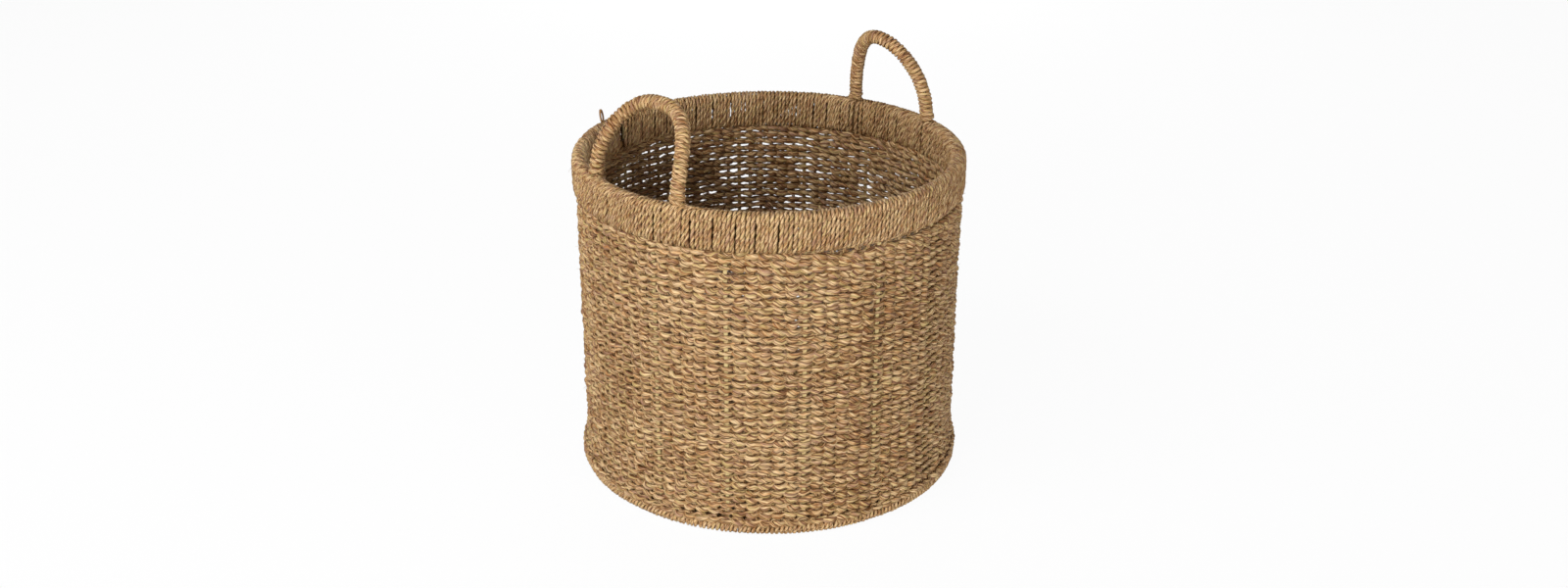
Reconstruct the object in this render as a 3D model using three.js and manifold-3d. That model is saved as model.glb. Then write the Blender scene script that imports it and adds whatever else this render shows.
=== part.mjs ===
// Round woven storage basket: a twined seagrass wall on cane stakes, a wrapped rim band,
// a wrapped foot ring and two stiff wrapped arch handles.
// Millimetres, +Z up, origin on the floor at the middle of the basket, handles near the X axis.

import * as THREE from 'three';
import { mergeVertices } from 'three/addons/utils/BufferGeometryUtils.js';
import Module from 'manifold-3d';

const wasm = await Module();
wasm.setup();

// Overall sizes
const body_height = 337.5;
const wall_outer_radius = 196;
const wall_thickness = 10.4;

// Clearances and the overrun of a cut
const fit_clearance = 0.3;
const stake_side_clearance = 0.6;
const cut_overrun = 2;

// Woven rows
const row_pitch = 7.7;
const row_relief = 2.1;

// Cane stakes, bent up from spokes of the base
const stake_count = 16;
const stake_width = 4;
const stake_thickness = 2;
const stake_bend_radius = 8;
const stake_chamfer = 0.5;
const spoke_start_radius = 24;

// Base
const base_thickness = 9;
const base_floor_gap = 2.5;
const base_edge_chamfer = 2;

// Foot ring
const foot_height = 16;
const foot_wrap_cord = 3.7;
const foot_hoop_thickness = 5.6;
const foot_top_round = 5;
const foot_bottom_round = 4;

// Rim band
const band_height = 41.5;
const band_wrap_cord = 4.5;
const band_bottom_round = 5;
const top_hoop_thickness = 4.6;
const top_hoop_height = 7.4;
const lower_hoop_height = 7.4;
const inner_hoop_thickness = 2;
const outer_hoop_thickness = 2.8;
const hoop_chamfer = 0.8;

// Handles
const handle_core_radius = 2.3;
const handle_radius = 7.3;
const handle_cord_width = 3.9;
const handle_cord_height = 4.2;
const handle_wrap_pitch = 5;
const least_wrap_gap = 0.45;
const least_squeeze_share = 0.3;
const handle_lashing_radius = 7;
const left_bearing = 181.3;
const left_half_width = 57.5;
const left_rise = 73.6;
const left_inward = 35.8;
const left_lean_power = 1.87;
const left_squareness = 2.51;
const right_bearing = -1.1;
const right_half_width = 52.4;
const right_rise = 82.8;
const right_inward = 22.1;
const right_lean_power = 2.15;
const right_squareness = 2;

// Counts of facets
const ring_segments = 2 * stake_count;
const round_steps = 1;
const bend_steps = 1;
const core_sides = 6;
const core_steps = 34;
const curl_steps = 7;
const cord_sides = 5;
const lashing_sides = 12;
const arch_samples = 900;

// Sizes that follow
const quarter_turn = Math.PI / 2;
const flat_share = Math.cos(Math.PI / ring_segments);

const wall_inner_radius = wall_outer_radius - wall_thickness;
const stake_radius = wall_outer_radius - wall_thickness / 2;
const stake_inner_radius = stake_radius - stake_thickness / 2;
const stake_outer_radius = stake_radius + stake_thickness / 2;
const spoke_height = base_floor_gap + base_thickness / 2;

const foot_hoop_inner_radius = stake_outer_radius + stake_side_clearance;
const foot_hoop_outer_radius = foot_hoop_inner_radius + foot_hoop_thickness;
const foot_cavity_inner_radius = stake_inner_radius - fit_clearance;
const foot_cavity_outer_radius = foot_hoop_outer_radius + fit_clearance;
const foot_inner_radius = foot_cavity_inner_radius - foot_wrap_cord;
const foot_outer_radius = foot_cavity_outer_radius + foot_wrap_cord;
const base_radius = foot_inner_radius - fit_clearance;

const inner_hoop_outer_radius = stake_inner_radius - fit_clearance;
const inner_hoop_inner_radius = inner_hoop_outer_radius - inner_hoop_thickness;
const outer_hoop_inner_radius = stake_outer_radius + stake_side_clearance;
const outer_hoop_outer_radius = outer_hoop_inner_radius + outer_hoop_thickness;
const cavity_inner_radius = inner_hoop_inner_radius - fit_clearance;
const cavity_outer_radius = outer_hoop_outer_radius + fit_clearance;
const band_inner_radius = cavity_inner_radius - band_wrap_cord;
const band_outer_radius = cavity_outer_radius + band_wrap_cord;
const band_top_round = (band_outer_radius - band_inner_radius) / 2;
const band_bottom = body_height - band_height;
const cavity_top = body_height - band_wrap_cord;
const cavity_bottom = band_bottom + band_wrap_cord;
const top_hoop_top = cavity_top - fit_clearance;
const top_hoop_bottom = top_hoop_top - top_hoop_height;
const top_hoop_outer_radius = cavity_outer_radius - fit_clearance;
const top_hoop_inner_radius = top_hoop_outer_radius - top_hoop_thickness;
const stake_top = top_hoop_bottom - fit_clearance;
const lower_hoop_bottom = cavity_bottom + fit_clearance;
const lower_hoop_top = lower_hoop_bottom + lower_hoop_height;
const wall_bottom = foot_height + fit_clearance;
const wall_top = band_bottom - fit_clearance;

const leg_radius = top_hoop_inner_radius * flat_share - fit_clearance - handle_core_radius;
const leg_bottom = lower_hoop_top + fit_clearance;
const winding_radius = handle_radius - handle_cord_height / 2;
const handles = [
  {
    side: 'left',
    turn: THREE.MathUtils.degToRad(left_bearing),
    half_width: left_half_width,
    rise: left_rise,
    inward: left_inward,
    lean_power: left_lean_power,
    squareness: left_squareness,
  },
  {
    side: 'right',
    turn: THREE.MathUtils.degToRad(right_bearing),
    half_width: right_half_width,
    rise: right_rise,
    inward: right_inward,
    lean_power: right_lean_power,
    squareness: right_squareness,
  },
];

// Finishes
const straw_colour = 0xa98a5c;
const rim_colour = 0xb08f5e;
const foot_colour = 0xa5824f;
const base_colour = 0x94774d;
const handle_colour = 0xb8945c;
const cane_colour = 0xc6b585;
const hoop_colour = 0xa8875a;

function finish(color, roughness) {
  return new THREE.MeshStandardMaterial({ color, roughness, metalness: 0 });
}

// A closed surface as a solid that can be joined and cut.
function solidOf(geometry) {
  const bare = geometry.clone();
  bare.deleteAttribute('normal');
  bare.deleteAttribute('uv');
  const welded = mergeVertices(bare);
  const triangles = [];
  for (let i = 0; i < welded.index.count; i += 3) {
    const [a, b, c] = [0, 1, 2].map((corner) => welded.index.getX(i + corner));
    if (a !== b && b !== c && c !== a) triangles.push(a, b, c);
  }
  return new wasm.Manifold(new wasm.Mesh({
    numProp: 3,
    vertProperties: Float32Array.from(welded.attributes.position.array),
    triVerts: Uint32Array.from(triangles),
  }));
}

function piece(name, solid, material) {
  const { vertProperties, triVerts } = solid.getMesh();
  const geometry = new THREE.BufferGeometry();
  geometry.setAttribute('position', new THREE.BufferAttribute(vertProperties, 3));
  geometry.setIndex(new THREE.BufferAttribute(triVerts, 1));
  geometry.computeVertexNormals();
  const mesh = new THREE.Mesh(geometry, material);
  mesh.name = name;
  return mesh;
}

// An outline in radius and height, revolved about Z. An outline off the axis closes on itself.
function revolve(outline) {
  const closed = outline[0].x > 0 ? [...outline, outline[0]] : outline;
  const lathe = new THREE.LatheGeometry(closed, ring_segments);
  lathe.rotateX(quarter_turn);
  return solidOf(lathe);
}

// A section of a ring with rounded corners at the bottom and the top.
function roundedOutline(inner, outer, bottom, top, bottom_round, top_round) {
  const path = new THREE.Path();
  path.absarc(outer - bottom_round, bottom + bottom_round, bottom_round, -quarter_turn, 0);
  path.absarc(outer - top_round, top - top_round, top_round, 0, quarter_turn);
  path.absarc(inner + top_round, top - top_round, top_round, quarter_turn, 2 * quarter_turn);
  path.absarc(inner + bottom_round, bottom + bottom_round, bottom_round, -2 * quarter_turn, -quarter_turn);
  return path.getPoints(round_steps);
}

// A section of a ring with four plain corners.
function plainOutline(inner, outer, bottom, top) {
  return [
    new THREE.Vector2(outer, bottom),
    new THREE.Vector2(outer, top),
    new THREE.Vector2(inner, top),
    new THREE.Vector2(inner, bottom),
  ];
}

// A flat cane, its two outer corners eased.
function caneOutline(inner, outer, bottom, top) {
  return [
    new THREE.Vector2(outer, bottom + hoop_chamfer),
    new THREE.Vector2(outer, top - hoop_chamfer),
    new THREE.Vector2(outer - hoop_chamfer, top),
    new THREE.Vector2(inner, top),
    new THREE.Vector2(inner, bottom),
    new THREE.Vector2(outer - hoop_chamfer, bottom),
  ];
}

// One stake: a flat cane that runs out along the base as a spoke, bends and stands up to the rim.
// With a clearance it is the channel that the weaving leaves for that stake.
function stakeSolid(angle, clearance, chamfer) {
  const half = stake_thickness / 2 + clearance;
  const bend_centre = new THREE.Vector2(stake_radius - stake_bend_radius, spoke_height + stake_bend_radius);
  const start = spoke_start_radius - clearance;
  const end = stake_top + clearance;
  const shape = new THREE.Shape();
  shape.moveTo(start, spoke_height - half);
  shape.lineTo(bend_centre.x, spoke_height - half);
  shape.absarc(bend_centre.x, bend_centre.y, stake_bend_radius + half, -quarter_turn, 0, false);
  shape.lineTo(stake_radius + half, end);
  shape.lineTo(stake_radius - half, end);
  shape.lineTo(stake_radius - half, bend_centre.y);
  shape.absarc(bend_centre.x, bend_centre.y, stake_bend_radius - half, 0, -quarter_turn, true);
  shape.lineTo(start, spoke_height + half);
  const width = stake_width + 2 * clearance;
  const strip = new THREE.ExtrudeGeometry(shape, {
    depth: width - 2 * chamfer,
    curveSegments: bend_steps,
    bevelEnabled: chamfer > 0,
    bevelThickness: chamfer,
    bevelSize: chamfer,
    bevelOffset: -chamfer,
    bevelSegments: 1,
  });
  strip.translate(0, 0, chamfer - width / 2);
  strip.rotateX(quarter_turn);
  strip.rotateZ(angle);
  return solidOf(strip);
}

const stake_angles = Array.from({ length: stake_count }, (_, k) => ((k + 0.5) / stake_count) * 2 * Math.PI);

function joined(solids) {
  return solids.reduce((sum, next) => sum.add(next));
}

const stake_channels = joined(stake_angles.map((angle) => stakeSolid(angle, fit_clearance, 0)));

// The wall: one closed shell, its outside ribbed row by row as the twined cords lie.
function wovenWall() {
  const rows = Math.round((wall_top - wall_bottom) / row_pitch);
  const pitch = (wall_top - wall_bottom) / rows;
  const valley = wall_outer_radius - row_relief;
  const outline = [new THREE.Vector2(valley, wall_bottom)];
  for (let row = 0; row < rows; row += 1) {
    outline.push(new THREE.Vector2(wall_outer_radius, wall_bottom + (row + 0.5) * pitch));
    outline.push(new THREE.Vector2(valley, wall_bottom + (row + 1) * pitch));
  }
  outline.push(new THREE.Vector2(wall_inner_radius, wall_top));
  outline.push(new THREE.Vector2(wall_inner_radius, wall_bottom));
  return revolve(outline).subtract(stake_channels);
}

// The base: a woven disc that holds the spokes, its edge inside the foot ring.
function wovenBase() {
  const top = base_floor_gap + base_thickness;
  const outline = [
    new THREE.Vector2(0, base_floor_gap),
    new THREE.Vector2(base_radius - base_edge_chamfer, base_floor_gap),
    new THREE.Vector2(base_radius, base_floor_gap + base_edge_chamfer),
    new THREE.Vector2(base_radius, top - base_edge_chamfer),
    new THREE.Vector2(base_radius - base_edge_chamfer, top),
    new THREE.Vector2(0, top),
  ];
  return revolve(outline).subtract(stake_channels);
}

// The foot ring: cord wound round a hoop, parted where each stake comes through.
function footWrap() {
  const roll = revolve(roundedOutline(
    foot_inner_radius, foot_outer_radius, 0, foot_height, foot_bottom_round, foot_top_round,
  ));
  const hollow = revolve(plainOutline(
    foot_cavity_inner_radius, foot_cavity_outer_radius, foot_wrap_cord, foot_height - foot_wrap_cord,
  ));
  return roll.subtract(hollow).subtract(stake_channels);
}

function footHoop() {
  const inset = foot_wrap_cord + fit_clearance;
  return revolve(caneOutline(foot_hoop_inner_radius, foot_hoop_outer_radius, inset, foot_height - inset));
}

// Where a handle's two legs stand, in the XY plane.
function legPlaces(handle) {
  const distance = Math.sqrt(leg_radius ** 2 - handle.half_width ** 2);
  const axis = new THREE.Vector3(0, 0, 1);
  return [-1, 1].map((side) => (
    new THREE.Vector3(distance, side * handle.half_width, 0).applyAxisAngle(axis, handle.turn)
  ));
}

function post(place, radius, bottom, top, sides) {
  const cylinder = new THREE.CylinderGeometry(radius, radius, top - bottom, sides);
  cylinder.rotateX(quarter_turn);
  cylinder.translate(place.x, place.y, (top + bottom) / 2);
  return solidOf(cylinder);
}

// The rim band: cord wound over the hoops, swollen where it binds each handle leg, and hollow
// between the hoops as the real band is.
function rimBand() {
  const places = handles.flatMap(legPlaces);
  const band = revolve(roundedOutline(
    band_inner_radius, band_outer_radius, band_bottom, body_height, band_bottom_round, band_top_round,
  ));
  const lashings = places.map((place) => (
    post(place, handle_lashing_radius, band_bottom + band_bottom_round, body_height, lashing_sides)
  ));
  const bores = places.map((place) => (
    post(place, handle_core_radius / Math.cos(Math.PI / core_sides) + fit_clearance,
      leg_bottom - fit_clearance, body_height + cut_overrun, core_sides)
  ));
  const hollow = revolve(plainOutline(cavity_inner_radius, cavity_outer_radius, cavity_bottom, cavity_top));
  return joined([band, ...lashings]).subtract(hollow).subtract(joined(bores)).subtract(stake_channels);
}

// The centre line of one handle: up from one leg, over the arch and down to the other.
class HandleArch extends THREE.Curve {
  constructor(handle) {
    super();
    this.handle = handle;
    this.arcLengthDivisions = arch_samples;
  }

  getPoint(t, target = new THREE.Vector3()) {
    const { half_width, rise, inward, lean_power, squareness } = this.handle;
    const angle = Math.PI * t;
    const power = 2 / squareness;
    const across = Math.sign(Math.cos(angle)) * Math.abs(Math.cos(angle)) ** power;
    const up = Math.max(Math.sin(angle), 0) ** power;
    const distance = Math.sqrt(leg_radius ** 2 - half_width ** 2) - inward * up ** lean_power;
    return target.set(distance, -half_width * across, body_height + rise * up);
  }
}

// A tube through rings of points, each ring a section of the same number of sides, closed at both ends.
function tubeThrough(rings) {
  const sides = rings[0].length;
  const positions = rings.flat().flatMap((point) => [point.x, point.y, point.z]);
  const triangles = [];
  for (let ring = 0; ring + 1 < rings.length; ring += 1) {
    for (let side = 0; side < sides; side += 1) {
      const next = (side + 1) % sides;
      const [a, b] = [ring * sides + side, ring * sides + next];
      triangles.push(a, b, b + sides, a, b + sides, a + sides);
    }
  }
  const last = (rings.length - 1) * sides;
  for (let side = 1; side + 1 < sides; side += 1) {
    triangles.push(0, side + 1, side, last, last + side, last + side + 1);
  }
  const geometry = new THREE.BufferGeometry();
  geometry.setAttribute('position', new THREE.Float32BufferAttribute(positions, 3));
  geometry.setIndex(triangles);
  return geometry;
}

// The ring of points round a centre, its first axis out from the winding and its second along it.
function sectionRing(centre, outward, along, half_height, half_width, sides) {
  return Array.from({ length: sides }, (_, side) => {
    const angle = (side / sides) * 2 * Math.PI;
    return centre.clone()
      .addScaledVector(outward, half_height * Math.cos(angle))
      .addScaledVector(along, half_width * Math.sin(angle));
  });
}

// The core of a handle: a bent cane that runs down inside the rim band at both ends.
function handleCore(handle) {
  const arch = new HandleArch(handle);
  const points = arch.getSpacedPoints(core_steps);
  const feet = [points[0], points[core_steps]].map((point) => point.clone().setZ(leg_bottom));
  const line = [feet[0], ...points, feet[1]];
  const inward = new THREE.Vector3(-1, 0, 0);
  const rings = line.map((point, i) => {
    const before = line[Math.max(i - 1, 0)];
    const after = line[Math.min(i + 1, line.length - 1)];
    const tangent = after.clone().sub(before).normalize();
    const across = new THREE.Vector3().crossVectors(tangent, inward).normalize();
    const out = new THREE.Vector3().crossVectors(across, tangent);
    return sectionRing(point, out, across, handle_core_radius, handle_core_radius, core_sides);
  });
  return solidOf(tubeThrough(rings));
}

// How far the winding has turned at each sample of the arch. Where the arch bends, the turns
// spread so that they don't meet on its inner side.
function windingTurns(arch) {
  const step = arch.getLength() / arch_samples;
  const tangents = Array.from({ length: arch_samples + 1 }, (_, i) => arch.getTangentAt(i / arch_samples));
  const turns = [0];
  for (let i = 1; i <= arch_samples; i += 1) {
    const bend = tangents[i].angleTo(tangents[i - 1]) / step;
    const squeeze = Math.max(1 - winding_radius * bend, least_squeeze_share);
    const pitch = Math.max(handle_wrap_pitch, (handle_cord_width + least_wrap_gap) / squeeze);
    turns.push(turns[i - 1] + step / pitch);
  }
  return turns;
}

// The centres of the wound cord along the arch, each with its direction out from the arch.
// The winding stops short of the rim, which leaves room for the cord's ends to turn down.
function windingLine(arch) {
  const turns = windingTurns(arch);
  const frames = arch.computeFrenetFrames(arch_samples);
  const lead = Math.ceil(((handle_cord_width + fit_clearance) / arch.getLength()) * arch_samples);
  const first = turns[lead];
  const last = turns[arch_samples - lead];
  const steps = Math.floor((last - first) * curl_steps);
  const line = [];
  let sample = lead;
  for (let i = 0; i <= steps; i += 1) {
    const turn = first + ((last - first) * i) / steps;
    while (turns[sample + 1] < turn) sample += 1;
    const share = (turn - turns[sample]) / (turns[sample + 1] - turns[sample]);
    const angle = turn * 2 * Math.PI;
    const outward = frames.normals[sample].clone().multiplyScalar(Math.cos(angle))
      .addScaledVector(frames.binormals[sample], Math.sin(angle));
    const centre = arch.getPointAt(Math.min((sample + share) / arch_samples, 1));
    line.push({ centre: centre.addScaledVector(outward, winding_radius), outward });
  }
  return line;
}

// The sections of the cord wound round a handle: one unbroken tube, its ends turned down to the rim.
function windingRings(handle) {
  const line = windingLine(new HandleArch(handle));
  const ends = [line[0], line[line.length - 1]].map(({ centre, outward }) => (
    { centre: centre.clone().setZ(body_height + fit_clearance), outward }
  ));
  const whole = [ends[0], ...line, ends[1]];
  return whole.map(({ centre, outward }, i) => {
    const before = whole[Math.max(i - 1, 0)].centre;
    const after = whole[Math.min(i + 1, whole.length - 1)].centre;
    const tangent = after.clone().sub(before).normalize();
    const along = new THREE.Vector3().crossVectors(tangent, outward).normalize();
    const out = new THREE.Vector3().crossVectors(along, tangent);
    return sectionRing(centre, out, along, handle_cord_height / 2, handle_cord_width / 2, cord_sides);
  });
}

// The least distance between points of the tube that lie about one turn or more apart.
function leastGap(rings) {
  let least = Infinity;
  const skip = Math.ceil(curl_steps / 2);
  const reach = 2 * curl_steps;
  for (let i = 0; i < rings.length; i += 1) {
    for (let j = i + skip; j < Math.min(i + reach, rings.length); j += 1) {
      for (const a of rings[i]) {
        for (const b of rings[j]) least = Math.min(least, a.distanceTo(b));
      }
    }
  }
  return least;
}

const basket = new THREE.Group();

stake_angles.forEach((angle, k) => {
  const name = `stake_${String(k + 1).padStart(2, '0')}`;
  basket.add(piece(name, stakeSolid(angle, 0, stake_chamfer), finish(cane_colour, 0.6)));
});
basket.add(piece('woven_wall', wovenWall(), finish(straw_colour, 0.85)));
basket.add(piece('woven_base', wovenBase(), finish(base_colour, 0.85)));
basket.add(piece('foot_ring_wrap', footWrap(), finish(foot_colour, 0.8)));
basket.add(piece('foot_hoop', footHoop(), finish(hoop_colour, 0.6)));
basket.add(piece('rim_band_wrap', rimBand(), finish(rim_colour, 0.8)));

const top_hoop = caneOutline(top_hoop_inner_radius, top_hoop_outer_radius, top_hoop_bottom, top_hoop_top);
basket.add(piece('rim_top_hoop', revolve(top_hoop), finish(hoop_colour, 0.6)));

const inner_hoop = plainOutline(
  inner_hoop_inner_radius, inner_hoop_outer_radius, lower_hoop_bottom, lower_hoop_top,
);
basket.add(piece('rim_inner_hoop', revolve(inner_hoop), finish(hoop_colour, 0.6)));

const outer_hoop = plainOutline(
  outer_hoop_inner_radius, outer_hoop_outer_radius, lower_hoop_bottom, lower_hoop_top,
);
basket.add(piece('rim_outer_hoop', revolve(outer_hoop), finish(hoop_colour, 0.6)));

for (const handle of handles) {
  const side = new THREE.Group();
  side.rotation.z = handle.turn;
  side.add(piece(`handle_${handle.side}_core`, handleCore(handle), finish(hoop_colour, 0.6)));
  const rings = windingRings(handle);
  side.add(piece(`handle_${handle.side}_wrap`, solidOf(tubeThrough(rings)), finish(handle_colour, 0.8)));
  console.log(`handle_${handle.side}_wrap: least gap between turns ${leastGap(rings).toFixed(2)} mm`);
  basket.add(side);
}

export default basket;
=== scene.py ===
"""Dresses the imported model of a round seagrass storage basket: twined wall and base,
wound rim, foot and handles, their finishes, and a plain stage with a camera.

Metres, +Z up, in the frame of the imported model. It is laid out as an add-on and run as a script."""

import math
from types import SimpleNamespace

import bpy
from bpy.props import FloatProperty, FloatVectorProperty, IntProperty, PointerProperty
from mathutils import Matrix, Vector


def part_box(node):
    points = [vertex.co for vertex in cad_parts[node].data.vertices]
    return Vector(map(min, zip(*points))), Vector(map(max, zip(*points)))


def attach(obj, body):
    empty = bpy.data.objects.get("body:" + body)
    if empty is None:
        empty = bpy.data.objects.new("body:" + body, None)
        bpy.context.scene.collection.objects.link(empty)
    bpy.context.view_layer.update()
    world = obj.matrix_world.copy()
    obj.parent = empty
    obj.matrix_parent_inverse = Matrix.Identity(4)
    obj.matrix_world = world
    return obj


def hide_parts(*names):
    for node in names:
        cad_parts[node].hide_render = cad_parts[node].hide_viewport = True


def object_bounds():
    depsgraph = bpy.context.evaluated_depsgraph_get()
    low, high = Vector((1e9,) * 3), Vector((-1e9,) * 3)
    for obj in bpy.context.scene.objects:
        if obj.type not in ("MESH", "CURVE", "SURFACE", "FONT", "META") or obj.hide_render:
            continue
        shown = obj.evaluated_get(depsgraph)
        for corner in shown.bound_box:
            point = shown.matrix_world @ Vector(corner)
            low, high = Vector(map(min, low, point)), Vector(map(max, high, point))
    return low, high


bl_info = {
    "name": "Woven Basket",
    "version": (1, 0, 0),
    "blender": (4, 5, 0),
    "location": "3D View > Sidebar > Basket",
    "description": "Weaves and winds a round seagrass basket over its packed frame",
    "category": "Object",
}

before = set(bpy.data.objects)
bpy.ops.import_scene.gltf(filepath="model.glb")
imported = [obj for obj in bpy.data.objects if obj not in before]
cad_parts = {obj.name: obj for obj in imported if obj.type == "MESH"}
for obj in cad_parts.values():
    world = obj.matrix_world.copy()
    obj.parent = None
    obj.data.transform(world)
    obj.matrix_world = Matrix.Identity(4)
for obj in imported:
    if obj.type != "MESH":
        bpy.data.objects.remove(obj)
cad_low, cad_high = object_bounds()

FULL_TURN = 2 * math.pi

wall_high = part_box("woven_wall")[1]
base_low, base_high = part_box("woven_base")
foot_low, foot_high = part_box("foot_ring_wrap")
band_low, band_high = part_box("rim_band_wrap")
hoop_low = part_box("rim_top_hoop")[0]
stake_count = len([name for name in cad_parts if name.startswith("stake_")])


def a_count(name, description, default):
    return IntProperty(name=name, description=description, default=default, min=1)


def a_number(name, description, default, unit="NONE"):
    return FloatProperty(name=name, description=description, default=default, unit=unit, precision=5)


def a_length(name, description, default):
    return a_number(name, description, default, "LENGTH")


def an_angle(name, description, degrees):
    return FloatProperty(name=name, description=description, default=math.radians(degrees), subtype="ANGLE")


def a_colour(name, description, *levels):
    """A colour given as a screen shows it, from 0 to 255, and kept as the light that shaders use."""
    def light(value):
        return value / 12.92 if value <= 0.04045 else ((value + 0.055) / 1.055) ** 2.4
    default = [light(level / 255) for level in levels]
    return FloatVectorProperty(
        name=name, description=description, subtype="COLOR", size=3, min=0, max=1, default=default
    )


class BasketWeave(bpy.types.PropertyGroup):
    """Sizes of the twined wall and base."""

    rows: a_count("Rows", "Twined rows up the wall", 37)
    rows_a_piece: a_count("Rows a piece", "Rows that share one mesh", 5)
    warps: a_count("Warps", "Upright warps that the rows pass, stakes included", 96)
    first_warp: an_angle("First warp", "Angle of the first warp", 7.5)
    warp_steps: a_count("Steps a warp", "Sections of cord from warp to warp", 8)
    sides: a_count("Cord sides", "Points round a cord's section", 10)
    stake_depth: a_length("Stake depth", "From the wall's outside in to the middle of the stakes", 0.0052)
    cord_radius: a_length("Cord radius", "Radius of a two-ply weft cord", 0.0028)
    fullness: a_number("Fullness", "How much thicker a weft is beside a warp", 0.24)
    swing: a_length("Swing", "How far a weft passes outside or inside a warp's middle", 0.0028)
    spread: a_length("Spread", "How far two wefts lie above or below each other where they cross", 0.0005)
    crossing: a_number("Crossing", "How short the crossing of two wefts is", 1.6)
    pinch: a_number("Pinch", "How much thinner the wefts are over a stake", 0.34)
    droop: a_length("Droop", "How far an outer weft hangs below the middle of its row", 0.0006)
    unevenness: a_number("Unevenness", "Tighter and looser parts of the back", 0.42)
    looseness: a_number("Looseness", "How much thinner the loosest wefts are", 0.085)
    loosest: an_angle("Loosest", "Bearing of the loosest side", 112)
    gap: a_length("Gap", "Deepest gap under the rim", 0.006)
    gap_bearing: an_angle("Gap bearing", "Where that gap is", -81)
    tightening: a_number("Tightening", "How much fuller the highest rows are", 0.2)
    flare: a_length("Flare", "How far the lowest row stands out over the foot", 0.0055)
    lay: a_length("Lay", "Length of one full turn of the plies", 0.031)
    waviness: a_length("Waviness", "How far a row wanders up and down", 0.0012)
    warp_radius: a_length("Fine warp radius", "Radius of one of the doubled fine warps", 0.0009)
    base_pitch: a_length("Base row pitch", "Distance between the twined rings of the base", 0.0064)
    base_cord: a_number("Base cord", "How thick the base's cord is beside the wall's", 1.27)
    base_swing: a_number("Base swing", "The swing of the base's cord as a share of the wall's", 0.45)
    base_waviness: a_number("Base waviness", "The waviness of the base as a share of the wall's", 0.4)
    hub_turns: a_number("Hub turns", "Turns of each coil in the middle of the base", 5.5)
    hub_radius: a_length("Hub radius", "Radius of the coiled middle of the base", 0.027)
    inner_base_radius: a_length("Fine warps' start", "Radius where half of the fine warps begin", 0.078)
    outer_base_radius: a_length("Last warps' start", "Radius where the other fine warps begin", 0.144)


class BasketWindings(bpy.types.PropertyGroup):
    """Sizes of the cords wound round the rim and the foot."""

    rim_turns: a_count("Rim turns", "Turns of cord round the rim", 284)
    foot_turns: a_count("Foot turns", "Turns of cord round the foot", 276)
    rim_cord_radius: a_length("Rim cord radius", "Radius of the rim's cord", 0.00242)
    rim_width: a_length("Rim width", "From the inside of the rim to its outside", 0.0173)
    rim_bottom_round: a_length("Rim bottom round", "Rounding of the rim's lower corners", 0.005)
    rim_top_round: a_length("Rim top round", "Rounding of the rim's upper corners", 0.0059)
    foot_cord_radius: a_length("Foot cord radius", "Radius of the foot's cord", 0.0024)
    foot_width: a_length("Foot width", "From the inside of the foot to its outside", 0.0162)
    foot_round: a_length("Foot round", "Rounding of the foot's corners", 0.003)
    foot_height: a_length("Foot height", "Height of the wound edge below the lowest row", 0.0112)
    lay: a_length("Lay", "Length of one full turn of the plies", 0.0167)
    crowding: a_length("Crowding", "How far a turn strays along the rim", 0.0011)
    bundle: a_number("Bundle", "Turns that crowd together between two slits", 4.6)
    slit: a_length("Slit", "Widest slit between two bundles", 0.003)
    swelling: a_length("Swelling", "How far the rim swells inwards where it binds a leg", 0.0026)
    binding_turns: a_count("Binding turns", "Loose turns that bind a leg to the rim", 3)
    binding_pitch: a_length("Binding pitch", "Distance between those turns", 0.0062)
    binding_stand: a_length("Binding stand", "How far those turns stand over the rim", 0.0018)
    binding_reach: a_length("Binding reach", "How far from a leg the rim still swells", 0.008)
    loose_bearing: an_angle("Loose bearing", "Where a few turns inside the rim are loose", 103)
    loose_parting: a_length("Loose parting", "Half of the slit that those turns leave", 0.007)
    parting: a_length("Parting", "How far the rim's turns give way to those of a leg inside", 0.0062)


class BasketHandles(bpy.types.PropertyGroup):
    """Sizes of the two wound arches."""

    left_bearing: an_angle("Left bearing", "Where the left handle stands", 181.3)
    left_half_width: a_length("Left half width", "From the middle to a leg of the left handle", 0.0575)
    left_rise: a_length("Left rise", "Height of the left arch over the rim", 0.0736)
    left_lean: a_length("Left lean", "How far the left arch leans over the basket", 0.0358)
    left_lean_power: a_number("Left lean power", "How late in its rise it leans", 1.87)
    left_squareness: a_number("Left squareness", "2 is an ellipse", 2.51)
    left_turns: a_count("Left turns", "Turns of cord round the left handle", 51)
    right_bearing: an_angle("Right bearing", "Where the right handle stands", -1.1)
    right_half_width: a_length("Right half width", "From the middle to a leg of the right handle", 0.0524)
    right_rise: a_length("Right rise", "Height of the right arch over the rim", 0.0828)
    right_lean: a_length("Right lean", "How far the right arch leans over the basket", 0.0221)
    right_lean_power: a_number("Right lean power", "How late in its rise it leans", 2.15)
    right_squareness: a_number("Right squareness", "2 is an ellipse", 2.0)
    right_turns: a_count("Right turns", "Turns of cord round the right handle", 50)
    leg_radius: a_length("Leg radius", "From the basket's axis to the legs", 0.18708)
    winding_radius: a_length("Winding radius", "From a handle's core to the middle of its cord", 0.0049)
    cord_radius: a_length("Cord radius", "Radius of the handles' cord", 0.0027)
    lay: a_length("Lay", "Length of one full turn of the plies of the handles' cord", 0.019)
    lashing_radius: a_length("Lashing radius", "Radius of the thin cord tied round a leg's foot", 0.0015)


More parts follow.
